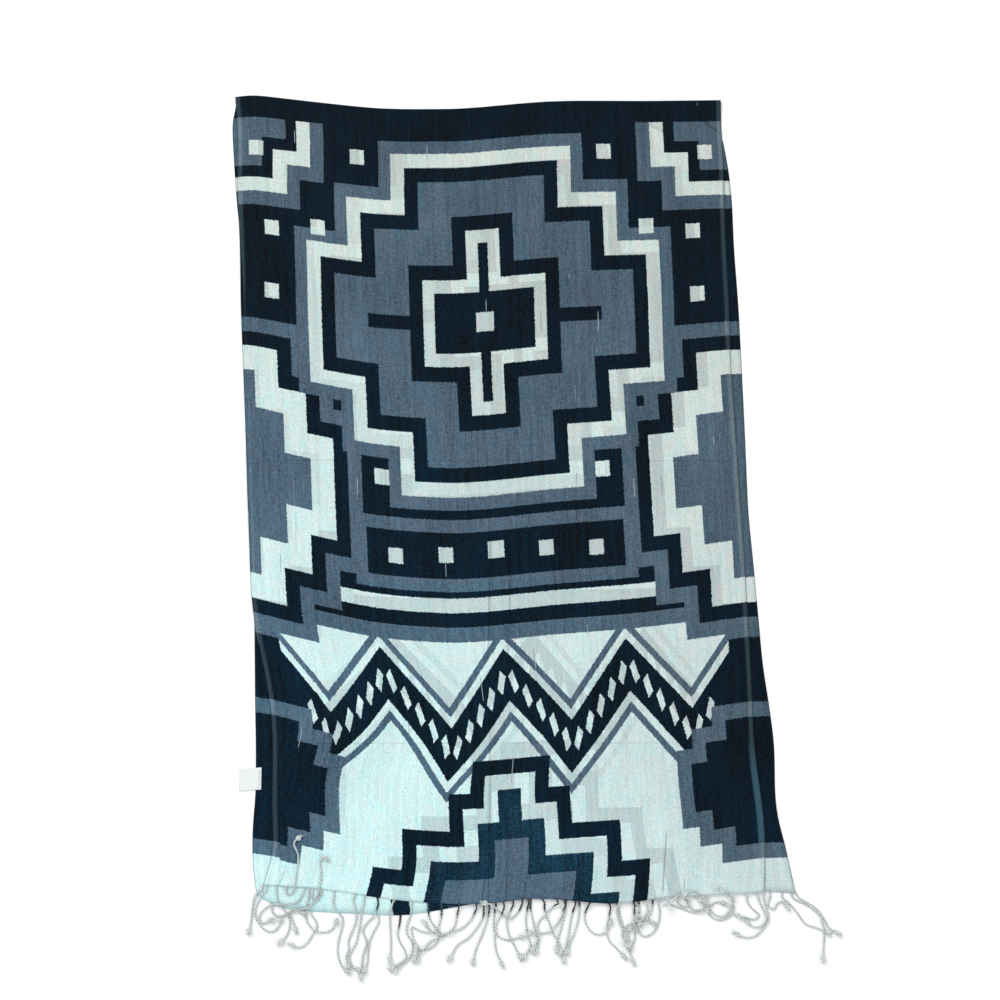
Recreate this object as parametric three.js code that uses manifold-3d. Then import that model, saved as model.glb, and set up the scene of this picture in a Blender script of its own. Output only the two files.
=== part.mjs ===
// A light woven stole with twisted fringe, folded once crosswise and laid flat on a surface.
// Millimetres, +Z up off the surface, +Y from the fringe towards the fold. The origin is the middle of the
// part's footprint, on the surface.
import * as THREE from "three";
import { mergeVertices } from "three/addons/utils/BufferGeometryUtils.js";
import Module from "manifold-3d";

const wasm = await Module();
wasm.setup();

// ---- Driving dimensions ----

const WALL = 1.0; // thickness of one layer of cloth
const SEAM_GAP = 0.3; // clearance between neighbouring pieces
const UNDER_TOP = WALL; // top of the under leaf, which lies on the surface
const UPPER_REST = UNDER_TOP + SEAM_GAP + WALL / 2; // mid-surface of the upper leaf where it lies flat

const TURN_RADIUS = 1.6; // mid-surface radius of the soft turn at the fold
const TURN_TAIL = 6; // length of cloth that runs back under the turn
const TURN_FADE = 26; // how far down the upper leaf the turn's swell dies out
const TURN_STEPS = 6;

const FRINGE_STRIP = 2.5; // width of the narrow band that carries the strands' roots
const CORD_RADIUS = 1.2; // corner radius of the three-sided strands
const CORD_SIDES = 3;
const CORD_STEPS = 18;
const CORD_GAP = 0.35; // clearance between two strands, and between a strand and the cloth under it
const FLOOR_CLEAR = 0.5; // gap between the lowest strands and the surface
const KNOT_SWELL = 1.4; // how much thicker the knot at a strand's end is
const DROP_SHARE = 0.3; // share of a strand's length over which it comes down from its hem
const ROOT_RISE = 0.5; // how far a strand's middle stands above its strip's middle at the root

const SETTLE_ROUNDS = 90;
const EASED_ROUNDS = 72;
const SETTLE_SINK = 0.06; // how far the strands sink in each round
const SETTLE_EASE = 0.25; // how much of a point's move is evened out with its neighbours' in each eased round
const SETTLE_LIFT = 0.06; // how much a strand tends upwards where it crosses another
const SETTLE_REACH = 16; // stretches that start further apart than this never meet

const LABEL = { left: -298, right: -273, foot: -334, head: -309, corner: 2 };

// The fold's edge and the two hems, as the height of the edge at each share of the way across.
const FOLD_EDGE = [
  { across: 0, y: 489 },
  { across: 0.04, y: 491 },
  { across: 0.13, y: 485 },
  { across: 0.22, y: 479 },
  { across: 0.3, y: 474.5 },
  { across: 0.44, y: 474 },
  { across: 0.5, y: 476 },
  { across: 0.59, y: 481 },
  { across: 0.67, y: 484 },
  { across: 0.85, y: 484 },
  { across: 1, y: 485 },
];
const UPPER_HEM = [
  { across: 0, y: -440 },
  { across: 0.08, y: -442 },
  { across: 0.18, y: -449 },
  { across: 0.28, y: -457 },
  { across: 0.43, y: -460 },
  { across: 0.55, y: -454 },
  { across: 0.71, y: -460 },
  { across: 0.78, y: -454 },
  { across: 1, y: -447 },
];
const UNDER_HEM = [
  { across: 0, y: -451 },
  { across: 0.045, y: -465 },
  { across: 0.2, y: -472 },
  { across: 0.28, y: -473 },
  { across: 0.36, y: -465 },
  { across: 0.45, y: -456 },
  { across: 0.6, y: -450 },
  { across: 0.86, y: -446 },
  { across: 1, y: -449 },
];

// The leaves' side edges: the selvedges wander as the cloth lies slack or spread.
const UPPER_SIDES = [
  { y: 491, left: -320, right: 267 },
  { y: 455, left: -316.5, right: 266 },
  { y: 418, left: -315, right: 268 },
  { y: 376, left: -315, right: 268.5 },
  { y: 300, left: -310, right: 269.5 },
  { y: 235, left: -308, right: 272 },
  { y: 167, left: -304, right: 272.5 },
  { y: 97, left: -300, right: 276 },
  { y: 51, left: -297.5, right: 278.5 },
  { y: -5, left: -295, right: 281 },
  { y: -50, left: -292, right: 283.5 },
  { y: -109, left: -289, right: 286 },
  { y: -147, left: -284, right: 287.5 },
  { y: -181, left: -275, right: 289 },
  { y: -220, left: -267.5, right: 290 },
  { y: -250, left: -261.5, right: 290.5 },
  { y: -296, left: -260, right: 292 },
  { y: -351, left: -260, right: 300 },
  { y: -395, left: -257, right: 302 },
  { y: -423, left: -263, right: 301.5 },
  { y: -441, left: -270, right: 300 },
];
const UNDER_SIDES = [
  { y: 485, left: -320, right: 268 },
  { y: 470, left: -323, right: 268 },
  { y: 447, left: -323, right: 266 },
  { y: 425, left: -321, right: 269 },
  { y: 410, left: -320, right: 273 },
  { y: 360, left: -316, right: 278 },
  { y: 300, left: -308, right: 279 },
  { y: 235, left: -303, right: 283 },
  { y: 143, left: -297, right: 286 },
  { y: 71, left: -294, right: 288 },
  { y: -19, left: -290, right: 290 },
  { y: -64, left: -288, right: 294 },
  { y: -132, left: -285, right: 299 },
  { y: -192, left: -283, right: 303 },
  { y: -232, left: -282, right: 309 },
  { y: -283, left: -280, right: 315 },
  { y: -342, left: -279, right: 314 },
  { y: -368, left: -282, right: 317 },
  { y: -399, left: -282, right: 326 },
  { y: -421, left: -281, right: 329 },
  { y: -449, left: -276, right: 336 },
];

// Creases and soft waves of the upper leaf: a ridge along the line from one point to the other.
// wide is the half-width at which a ridge has fallen to a third of its height.
const RIDGES = [
  { name: "side tuck", from: [-254, -262], to: [-250, -445], wide: 5, high: 2.6 },
  { name: "middle press, left", from: [-27, 110], to: [-16, -455], wide: 4, high: 1.3 },
  { name: "middle press, inner", from: [4, 40], to: [7, -455], wide: 5, high: 0.9 },
  { name: "middle press, right", from: [20, 10], to: [22, -455], wide: 4, high: 0.8 },
  { name: "left press", from: [-236, 200], to: [-226, -170], wide: 4, high: 0.6 },
  { name: "cross press, upper", from: [-292, 47], to: [-185, 44], wide: 4, high: 0.8 },
  { name: "cross press, lower", from: [-245, -284], to: [0, -284], wide: 4, high: 0.7 },
  { name: "slack at the fold", from: [-190, 462], to: [10, 460], wide: 16, high: 1.8 },
  { name: "fold corner wave", from: [168, 452], to: [240, 414], wide: 8, high: 1.4 },
  { name: "right wave", from: [245, 330], to: [262, -90], wide: 9, high: 1.2 },
  { name: "hem crease", from: [201, -372], to: [193, -455], wide: 3.5, high: 1.6 },
  { name: "hem over the under fringe", from: [-45, -462], to: [306, -453], wide: 15, high: 3.2 },
];
const RIDGE_FADE = 30; // length over which a ridge dies out at its ends

// The fringe's strands, from left to right. at: the share across the hem where a strand has its root.
// through: the places that it passes on the way to its end, each as far right of and down from its root.
const UPPER_FRINGE = [
  { at: 0.004, through: [[-10, 10], [-13, 25], [-14, 37], [-16, 48]] },
  { at: 0.014, through: [[-9, 11], [-14, 22], [-14, 32], [-9, 40], [-3, 47], [5, 49], [12, 43], [14, 36]] },
  { at: 0.029, through: [[1, 10], [5, 20], [13, 30], [16, 38], [15, 47], [12, 54], [6, 60]] },
  { at: 0.053, through: [[-3, 4], [0, 8], [6, 3], [9, -16], [11, -36], [7, -46], [6, -51], [11, -56]] },
  {
    at: 0.084,
    through: [[-2, 7], [-6, 13], [-15, 17], [-25, 17], [-34, 17], [-45, 23], [-51, 32], [-47, 39], [-38, 35]],
  },
  { at: 0.094, through: [[0, 10], [-2, 24], [-2, 34], [4, 43], [12, 47], [21, 47], [28, 43], [31, 36]] },
  { at: 0.104, through: [[-3, 6], [-1, 11], [4, 8], [7, -6], [8, -18], [7, -30], [8, -36], [12, -36]] },
  { at: 0.122, through: [[-9, 10], [-17, 17], [-30, 21], [-38, 25], [-35, 32], [-31, 42]] },
  { at: 0.146, through: [[-2, 9], [2, 20], [9, 28], [8, 39], [4, 56], [4, 68], [8, 80], [14, 86]] },
  { at: 0.18, through: [[3, 13], [5, 24], [3, 34], [-3, 51], [-2, 60], [-4, 68], [0, 77]] },
  { at: 0.206, through: [[-3, 12], [-6, 32], [-10, 50], [-16, 61], [-18, 68], [-14, 76], [-6, 80]] },
  { at: 0.234, through: [[-5, 17], [-13, 26], [-18, 34], [-13, 48], [-17, 60], [-19, 74], [-20, 84]] },
  { at: 0.261, through: [[-3, 14], [-3, 26], [-2, 40], [-2, 53], [-3, 63]] },
  { at: 0.298, through: [[-1, 14], [-5, 25], [-5, 33], [1, 43], [1, 52], [-4, 61], [-12, 68], [-19, 72]] },
  { at: 0.331, through: [[2, 16], [8, 25], [14, 33], [11, 43], [1, 50], [-9, 52], [-14, 60]] },
  { at: 0.358, through: [[-1, 15], [-6, 27], [-17, 31], [-27, 28], [-34, 25], [-33, 36], [-29, 46]] },
  { at: 0.393, through: [[-3, 15], [-5, 24], [-13, 32], [-26, 36], [-36, 43], [-43, 52], [-48, 60]] },
  { at: 0.43, through: [[-8, 16], [-17, 24], [-29, 28], [-43, 31], [-54, 28], [-60, 20]] },
  { at: 0.442, through: [[-1, 13], [-7, 24], [-18, 37], [-29, 44], [-38, 58]] },
  { at: 0.454, through: [[-3, 17], [-10, 36], [-16, 50], [-19, 63]] },
  { at: 0.484, through: [[-3, 12], [-10, 23], [-12, 37], [-10, 54], [-4, 67]] },
  { at: 0.503, through: [[-4, 10], [-8, 20], [-7, 35], [-1, 48], [6, 61]] },
  { at: 0.52, through: [[-6, 13], [-16, 20], [-27, 14], [-36, 5], [-44, 2]] },
  { at: 0.533, through: [[-3, 11], [-4, 23], [-1, 40], [1, 51], [-6, 62]] },
  { at: 0.562, through: [[1, 12], [6, 25], [10, 36], [17, 48], [18, 57]] },
  { at: 0.594, through: [[-9, 7], [-17, 15], [-24, 22], [-28, 31], [-26, 42], [-30, 54]] },
  { at: 0.607, through: [[-5, 16], [-14, 28], [-23, 34], [-34, 34], [-44, 33]] },
  { at: 0.625, through: [[-5, 15], [-8, 34], [-11, 51], [-13, 63]] },
  { at: 0.651, through: [[-5, 12], [-4, 22], [3, 32], [12, 34], [20, 29], [23, 20]] },
  { at: 0.694, through: [[-2, 14], [-5, 28], [-2, 40], [6, 48], [14, 56]] },
  { at: 0.707, through: [[1, 12], [6, 24], [15, 26], [25, 22], [33, 16], [39, 18]] },
  { at: 0.742, through: [[1, 14], [2, 27], [-2, 41], [-8, 51], [-4, 63]] },
  { at: 0.764, through: [[1, 12], [-5, 20], [-14, 24], [-23, 28], [-26, 38], [-21, 48]] },
  { at: 0.786, through: [[3, 14], [0, 30], [-8, 39], [-16, 41], [-21, 34], [-20, 25]] },
  { at: 0.801, through: [[9, 6], [21, 10], [33, 13], [43, 10], [46, 3], [39, -3]] },
  { at: 0.824, through: [[6, 8], [14, 7], [15, -1], [8, -4], [1, -3], [-6, 4], [-14, 7]] },
  { at: 0.856, through: [[-2, 8], [3, 14], [11, 11], [13, 3], [7, -4], [-2, -5], [-10, -1]] },
  { at: 0.885, through: [[0, 11], [7, 20], [17, 23], [26, 17], [28, 7], [23, -1], [14, -4]] },
  { at: 0.906, through: [[-4, 9], [-3, 17], [5, 19], [12, 14], [14, 5], [9, -3]] },
  { at: 0.93, through: [[3, 9], [2, 19], [-5, 26], [-14, 27], [-23, 21], [-27, 12]] },
  { at: 0.964, through: [[1, 9], [7, 17], [14, 23], [9, 28], [-1, 26], [-10, 24]] },
  { at: 0.985, through: [[3, 10], [7, 18], [10, 28], [4, 36], [-5, 37], [-12, 31]] },
  { at: 0.996, through: [[2, 10], [5, 20], [6, 30], [0, 39], [-9, 47], [-20, 49], [-30, 45]] },
];
const UNDER_FRINGE = [
  { at: 0.03, through: [[0, 6], [8, 11], [18, 8], [27, 3], [35, 7]] },
  { at: 0.1, through: [[6, 8], [8, 16], [3, 24], [-3, 33], [-11, 38], [-20, 35]] },
  { at: 0.228, through: [[-1, 7], [-6, 16], [-11, 26], [-13, 38], [-14, 50], [-18, 58]] },
  { at: 0.267, through: [[-1, 8], [-3, 18], [0, 28], [6, 38], [7, 46], [0, 52], [-8, 56]] },
  { at: 0.445, through: [[-2, 12], [-3, 24], [0, 36], [8, 41], [18, 41], [28, 38]] },
  { at: 0.508, through: [[0, 12], [3, 24], [6, 36], [9, 46], [5, 57]] },
  { at: 0.57, through: [[0, 12], [-2, 24], [-5, 36], [-9, 48], [-9, 58]] },
  { at: 0.598, through: [[0, 12], [-1, 24], [-5, 38], [-11, 50], [-15, 60]] },
  { at: 0.668, through: [[0, 12], [3, 24], [7, 36], [8, 48], [14, 58]] },
  { at: 0.708, through: [[0, 12], [0, 24], [-5, 35], [-12, 45], [-10, 56]] },
  { at: 0.734, through: [[0, 12], [-3, 23], [-10, 32], [-16, 26], [-17, 17]] },
  { at: 0.795, through: [[2, 12], [9, 19], [19, 21], [29, 18], [36, 12], [44, 12]] },
  { at: 0.955, through: [[-3, 6], [-4, 14], [2, 17], [7, 10], [14, 8], [18, 13]] },
  { at: 0.969, through: [[4, 6], [12, 13], [20, 22], [29, 33], [38, 36], [48, 39], [55, 42]] },
  { at: 0.988, through: [[6, 5], [20, 11], [31, 19], [39, 27], [43, 36], [53, 42]] },
  { at: 0.997, through: [[9, 7], [19, 13], [27, 21], [29, 31], [31, 40], [31, 54], [30, 70]] },
];

// ---- Small helpers ----

// A smooth curve through a table's rows, whose first column falls or rises all the way.
function along(table, key, column, at) {
  const rising = table[1][key] > table[0][key];
  const last = table.length - 1;
  let i = 0;
  while (i < last - 1 && (rising ? at > table[i + 1][key] : at < table[i + 1][key])) i += 1;
  const slope = (k) => {
    const before = table[Math.max(k - 1, 0)];
    const after = table[Math.min(k + 1, last)];
    return (after[column] - before[column]) / (after[key] - before[key]);
  };
  const step = table[i + 1][key] - table[i][key];
  const t = THREE.MathUtils.clamp((at - table[i][key]) / step, 0, 1);
  const bend = t * t * (3 - 2 * t);
  const straight = table[i][column] * (1 - bend) + table[i + 1][column] * bend;
  return straight + step * t * (1 - t) * (slope(i) * (1 - t) - slope(i + 1) * t);
}

function meshGeometry(positions, indices) {
  const geometry = new THREE.BufferGeometry();
  geometry.setAttribute("position", new THREE.Float32BufferAttribute(positions, 3));
  geometry.setIndex(indices);
  return geometry;
}

// A closed sheet of cloth: the grid of mid-surface points, moved out by half the thickness each way.
function clothWall(grid, thickness) {
  const rows = grid.length;
  const columns = grid[0].length;
  const positions = [];
  for (const side of [0.5, -0.5]) {
    for (let j = 0; j < rows; j += 1) {
      for (let i = 0; i < columns; i += 1) {
        const across = new THREE.Vector3().subVectors(
          grid[j][Math.min(i + 1, columns - 1)],
          grid[j][Math.max(i - 1, 0)],
        );
        const down = new THREE.Vector3().subVectors(
          grid[Math.min(j + 1, rows - 1)][i],
          grid[Math.max(j - 1, 0)][i],
        );
        const out = down.cross(across).normalize();
        positions.push(...grid[j][i].clone().addScaledVector(out, side * thickness).toArray());
      }
    }
  }
  const outer = (j, i) => j * columns + i;
  const inner = (j, i) => rows * columns + outer(j, i);
  const indices = [];
  for (let j = 0; j < rows - 1; j += 1) {
    for (let i = 0; i < columns - 1; i += 1) {
      indices.push(outer(j, i), outer(j + 1, i), outer(j, i + 1));
      indices.push(outer(j, i + 1), outer(j + 1, i), outer(j + 1, i + 1));
      indices.push(inner(j, i), inner(j, i + 1), inner(j + 1, i));
      indices.push(inner(j, i + 1), inner(j + 1, i + 1), inner(j + 1, i));
    }
  }
  const rim = [];
  for (let i = 0; i < columns - 1; i += 1) rim.push([0, i]);
  for (let j = 0; j < rows - 1; j += 1) rim.push([j, columns - 1]);
  for (let i = columns - 1; i > 0; i -= 1) rim.push([rows - 1, i]);
  for (let j = rows - 1; j > 0; j -= 1) rim.push([j, 0]);
  rim.forEach((here, k) => {
    const next = rim[(k + 1) % rim.length];
    indices.push(outer(...here), outer(...next), inner(...here));
    indices.push(outer(...next), inner(...next), inner(...here));
  });
  return meshGeometry(positions, indices);
}

// ---- The upper leaf ----

function ridgeHeight(ridge, x, y) {
  const start = new THREE.Vector2(...ridge.from);
  const line = new THREE.Vector2(...ridge.to).sub(start);
  const length = line.length();
  line.divideScalar(length);
  const offset = new THREE.Vector2(x, y).sub(start);
  const run = offset.dot(line);
  const beyond = Math.max(-run, run - length, 0);
  const away = offset.cross(line);
  const shape = Math.exp(-((away / ridge.wide) ** 2));
  return ridge.high * shape * Math.exp(-((beyond / RIDGE_FADE) ** 2));
}

// How far the upper leaf rises off its flat rest.
function upperRise(x, y, fromFold) {
  const ridges = RIDGES.reduce((sum, ridge) => sum + ridgeHeight(ridge, x, y), 0);
  const swell = THREE.MathUtils.clamp(1 - (fromFold - TURN_RADIUS) / TURN_FADE, 0, 1);
  const turnTop = WALL / 2 + 2 * TURN_RADIUS - UPPER_REST;
  const turnShare = swell * swell * (3 - 2 * swell);
  return ridges * (1 - turnShare) + turnTop * turnShare;
}

function upperPoint(across, y) {
  const left = along(UPPER_SIDES, "y", "left", y);
  const right = along(UPPER_SIDES, "y", "right", y);
  const x = left + across * (right - left);
  const fromFold = along(FOLD_EDGE, "across", "y", across) - WALL / 2 - y;
  return new THREE.Vector3(x, y, UPPER_REST + upperRise(x, y, fromFold));
}

// Shares across and down the leaf where its wall has points: closer together over the creases.
function closeUp(parts) {
  const shares = [0];
  for (const { upTo, steps } of parts) {
    const start = shares.at(-1);
    for (let k = 1; k <= steps; k += 1) shares.push(start + ((upTo - start) * k) / steps);
  }
  return shares;
}
const COLUMNS = closeUp([
  { upTo: 0.06, steps: 6 },
  { upTo: 0.43, steps: 8 },
  { upTo: 0.535, steps: 9 },
  { upTo: 0.8, steps: 5 },
  { upTo: 0.86, steps: 3 },
  { upTo: 1, steps: 4 },
]);
const ROWS = closeUp([
  { upTo: 0.03, steps: 3 },
  { upTo: 0.1, steps: 4 },
  { upTo: 0.95, steps: 20 },
  { upTo: 1, steps: 4 },
]);

function upperGrid() {
  const turn = [];
  const edge = COLUMNS.map((across) => along(FOLD_EDGE, "across", "y", across));
  const centre = edge.map((y) => y - TURN_RADIUS - WALL / 2);
  turn.push(
    COLUMNS.map((across, i) => {
      const y = centre[i] - TURN_TAIL;
      return upperPoint(across, y).setZ(WALL / 2);
    }),
  );
  for (let k = 0; k <= TURN_STEPS; k += 1) {
    const angle = Math.PI * (k / TURN_STEPS - 0.5);
    turn.push(
      COLUMNS.map((across, i) => {
        const y = centre[i] + TURN_RADIUS * Math.cos(angle);
        return upperPoint(across, y).setZ(WALL / 2 + TURN_RADIUS * (1 + Math.sin(angle)));
      }),
    );
  }
  const leaf = ROWS.slice(1).map((share) =>
    COLUMNS.map((across, i) => {
      const hem = along(UPPER_HEM, "across", "y", across);
      return upperPoint(across, centre[i] + share * (hem - centre[i]));
    }),
  );
  return [...turn, ...leaf];
}

// ---- The under leaf ----

function underPoint(across, y) {
  const left = along(UNDER_SIDES, "y", "left", y);
  const right = along(UNDER_SIDES, "y", "right", y);
  return new THREE.Vector2(left + across * (right - left), y);
}

// The under leaf seen from above: its hem, its end inside the turn, and its two sides.
function underOutline() {
  const hem = COLUMNS.map((across) => underPoint(across, along(UNDER_HEM, "across", "y", across)));
  const top = COLUMNS.map((across) => {
    const edge = along(FOLD_EDGE, "across", "y", across);
    const y = edge - WALL / 2 - TURN_RADIUS - TURN_TAIL - SEAM_GAP;
    return underPoint(across, y);
  });
  const rightSide = UNDER_SIDES.filter((row) => row.y < top.at(-1).y && row.y > hem.at(-1).y).reverse();
  const leftSide = UNDER_SIDES.filter((row) => row.y < top[0].y && row.y > hem[0].y);
  return [
    ...hem,
    ...rightSide.map((row) => new THREE.Vector2(row.right, row.y)),
    ...top.reverse(),
    ...leftSide.map((row) => new THREE.Vector2(row.left, row.y)),
  ];
}

// ---- The fringe ----

function underHemAt(across) {
  const y = along(UNDER_HEM, "across", "y", across);
  const { x } = underPoint(across, y);
  return new THREE.Vector3(x, y, WALL / 2);
}

function upperHemAt(across) {
  return upperPoint(across, along(UPPER_HEM, "across", "y", across));
}

// The narrow band just outside a hem, which carries the strands' roots.
function fringeStrip(hemAt) {
  const near = COLUMNS.map((across) => hemAt(across).add(new THREE.Vector3(0, -SEAM_GAP, 0)));
  const far = near.map((point) => point.clone().add(new THREE.Vector3(0, -FRINGE_STRIP, 0)));
  return clothWall([near, far], WALL);
}

// A strand's points before it is laid among its neighbours: one smooth line over the surface, which comes
// down from the height of its hem.
function strandRoute(root, through) {
  const start = root.clone().setZ(0);
  const passed = through.map(([right, down]) => new THREE.Vector3(start.x + right, start.y - down, 0));
  const curve = new THREE.CatmullRomCurve3([start, ...passed]);
  return Array.from({ length: CORD_STEPS + 1 }, (_, k) => {
    const share = k / CORD_STEPS;
    return curve.getPointAt(share).setZ(root.z * (1 - THREE.MathUtils.smoothstep(share, 0, DROP_SHARE)));
  });
}

function fringeRoutes(hemAt, strands) {
  const toStrip = new THREE.Vector3(0, -SEAM_GAP - FRINGE_STRIP / 2, ROOT_RISE);
  return strands.map(({ at, through }) => strandRoute(hemAt(at).add(toStrip), through));
}

function cordRadius(k) {
  return CORD_RADIUS * (k >= CORD_STEPS - 1 ? KNOT_SWELL : 1);
}

// The height of the top of what lies under a strand: the surface, or a leaf and the band at its hem.
function groundHeight(x, y, overUpper) {
  const shareOf = (row) => THREE.MathUtils.clamp((x - row.left) / (row.right - row.left), 0, 1);
  const underShare = shareOf(UNDER_SIDES.at(-1));
  const upperShare = shareOf(UPPER_SIDES.at(-1));
  const band = FRINGE_STRIP + 2 * SEAM_GAP + CORD_RADIUS;
  if (overUpper && y > along(UPPER_HEM, "across", "y", upperShare) - band) {
    return upperPoint(upperShare, y).z + WALL / 2 + CORD_GAP;
  }
  if (overUpper && y > along(UNDER_HEM, "across", "y", underShare) - band) return UNDER_TOP + CORD_GAP;
  return FLOOR_CLEAR;
}

// The straight stretches of a strand. The first starts at the root, which is held.
function stretchesOf(route, strand) {
  return route.slice(1).map((point, k) => ({
    line: new THREE.Line3(route[k], point),
    radius: cordRadius(k + 1),
    order: k,
    strand,
  }));
}

function push(stretch, at, by) {
  const share = stretch.line.closestPointToPointParameter(at, true);
  const whole = share ** 2 + (1 - share) ** 2;
  if (stretch.order > 0) stretch.line.start.addScaledVector(by, (1 - share) / whole);
  stretch.line.end.addScaledVector(by, share / whole);
}

// Moves two stretches apart where they come closer than the strands are thick: the later one upwards.
function partStretches(lower, upper) {
  const clear = lower.radius + upper.radius + CORD_GAP;
  const onLower = new THREE.Vector3();
  const onUpper = new THREE.Vector3();
  const distance = Math.sqrt(lower.line.distanceSqToLine3(upper.line, onLower, onUpper));
  if (distance >= clear) return;
  const away = onUpper.clone().sub(onLower);
  away.z += SETTLE_LIFT;
  away.setLength((clear - distance) / 2);
  push(upper, onUpper, away);
  push(lower, onLower, away.negate());
}

function nearPairs(stretches) {
  const pairs = [];
  stretches.forEach((upper, n) => {
    for (let m = 0; m < n; m += 1) {
      const lower = stretches[m];
      if (lower.strand === upper.strand && upper.order - lower.order < 3) continue;
      if (lower.line.end.distanceTo(upper.line.end) < SETTLE_REACH) pairs.push([lower, upper]);
    }
  });
  return pairs;
}

// Evens out how far neighbouring points of a strand have moved.
function easeMoves(route, start) {
  const moves = route.map((point, k) => point.clone().sub(start[k]));
  for (let k = 1; k < route.length; k += 1) {
    const next = moves[Math.min(k + 1, route.length - 1)];
    const evened = moves[k - 1].clone().add(next).multiplyScalar(0.5);
    route[k].addScaledVector(evened.sub(moves[k]), SETTLE_EASE);
  }
}

function sink(route, overUpper) {
  for (let k = 1; k < route.length; k += 1) {
    const lowest = groundHeight(route[k].x, route[k].y, overUpper) + cordRadius(k);
    route[k].z = Math.max(route[k].z - SETTLE_SINK, lowest);
  }
}

// Lays the strands over the ground and each other. They start in one layer, and each moves as little and as
// smoothly as it can until none passes through another.
function settle(strands) {
  const starts = strands.map(({ route }) => route.map((point) => point.clone()));
  const pairs = nearPairs(strands.flatMap(({ route }, n) => stretchesOf(route, n)));
  for (let round = 0; round < SETTLE_ROUNDS; round += 1) {
    for (const [lower, upper] of pairs) partStretches(lower, upper);
    strands.forEach(({ route, overUpper }, n) => {
      if (round < EASED_ROUNDS) easeMoves(route, starts[n]);
      sink(route, overUpper);
    });
  }
}

// A three-sided strand along its route, thickened to a knot near its end.
function strandSolid(route) {
  const frames = route.map((point, k) => {
    const before = route[Math.max(k - 1, 0)];
    const after = route[Math.min(k + 1, route.length - 1)];
    const forward = new THREE.Vector3().subVectors(after, before).normalize();
    const side = new THREE.Vector3(forward.y, -forward.x, 0).normalize();
    return { point, side, up: new THREE.Vector3().crossVectors(side, forward) };
  });
  const positions = [];
  const last = frames.length - 1;
  frames.forEach(({ point, side, up }, k) => {
    for (let s = 0; s < CORD_SIDES; s += 1) {
      const angle = (2 * Math.PI * s) / CORD_SIDES + Math.PI / 2;
      const corner = point.clone();
      corner.addScaledVector(side, cordRadius(k) * Math.cos(angle));
      corner.addScaledVector(up, cordRadius(k) * Math.sin(angle));
      positions.push(...corner.toArray());
    }
  });
  const indices = [];
  for (let k = 0; k < last; k += 1) {
    for (let s = 0; s < CORD_SIDES; s += 1) {
      const here = k * CORD_SIDES + s;
      const beside = k * CORD_SIDES + ((s + 1) % CORD_SIDES);
      indices.push(here, here + CORD_SIDES, beside);
      indices.push(beside, here + CORD_SIDES, beside + CORD_SIDES);
    }
  }
  for (let s = 1; s < CORD_SIDES - 1; s += 1) {
    indices.push(0, s, s + 1);
    indices.push(last * CORD_SIDES, last * CORD_SIDES + s + 1, last * CORD_SIDES + s);
  }
  return meshGeometry(positions, indices);
}

function toManifold(geometry) {
  const merged = mergeVertices(geometry);
  return new wasm.Manifold(
    new wasm.Mesh({
      numProp: 3,
      vertProperties: merged.attributes.position.array,
      triVerts: new Uint32Array(merged.index.array),
    }),
  );
}

function fromManifold(solid) {
  const { vertProperties, triVerts } = solid.getMesh();
  return meshGeometry(Array.from(vertProperties), Array.from(triVerts));
}

function fringeSolid(hemAt, routes) {
  const solids = routes.map((route) => toManifold(strandSolid(route)));
  return fromManifold(solids.reduce((whole, strand) => whole.add(strand), toManifold(fringeStrip(hemAt))));
}

// Both fringes: the upper leaf's strands lie over the under leaf's.
function fringes() {
  const under = fringeRoutes(underHemAt, UNDER_FRINGE);
  const upper = fringeRoutes(upperHemAt, UPPER_FRINGE);
  settle([
    ...under.map((route) => ({ route, overUpper: false })),
    ...upper.map((route) => ({ route, overUpper: true })),
  ]);
  return { under: fringeSolid(underHemAt, under), upper: fringeSolid(upperHemAt, upper) };
}

// ---- The label ----

// A small flat tag sewn on the under leaf's left edge, with rounded corners.
function labelSolid() {
  const { left, right, foot, head, corner } = LABEL;
  const outline = new THREE.Shape();
  outline.moveTo(left + corner, foot);
  outline.lineTo(right, foot);
  outline.lineTo(right, head);
  outline.lineTo(left + corner, head);
  outline.quadraticCurveTo(left, head, left, head - corner);
  outline.lineTo(left, foot + corner);
  outline.quadraticCurveTo(left, foot, left + corner, foot);
  const solid = new THREE.ExtrudeGeometry(outline, { depth: WALL, bevelEnabled: false, curveSegments: 3 });
  return solid.translate(0, 0, UNDER_TOP + SEAM_GAP);
}

// ---- The whole part ----

function cloth(color) {
  return new THREE.MeshStandardMaterial({ color, roughness: 0.9, metalness: 0 });
}

function named(name, geometry, material) {
  const mesh = new THREE.Mesh(geometry, material);
  mesh.name = name;
  return mesh;
}

const fringe = fringes();
const scarf = new THREE.Group();
scarf.add(
  named("leaf_upper", clothWall(upperGrid(), WALL), cloth("#4d6272")),
  named(
    "leaf_under",
    new THREE.ExtrudeGeometry(new THREE.Shape(underOutline()), { depth: WALL, bevelEnabled: false }),
    cloth("#1f3b4c"),
  ),
  named("fringe_upper", fringe.upper, cloth("#cfdcd8")),
  named("fringe_under", fringe.under, cloth("#c3d1ce")),
  named("care_label", labelSolid(), cloth("#f3f4f2")),
);

const footprint = new THREE.Box3().setFromObject(scarf);
const middle = footprint.getCenter(new THREE.Vector3());
for (const piece of scarf.children) piece.position.set(-middle.x, -middle.y, 0);

export default scarf;
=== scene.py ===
# A light printed stole with twisted fringe, folded once crosswise and laid flat on a pale floor.
# The scene is in metres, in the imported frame. Shapes are worked out in millimetres, with the origin where
# the middle of the camera's view meets the floor: +X to the right, +Y from the fringe towards the fold.
import math

import bpy
import numpy as np
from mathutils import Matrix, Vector
from mathutils.bvhtree import BVHTree


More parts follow.
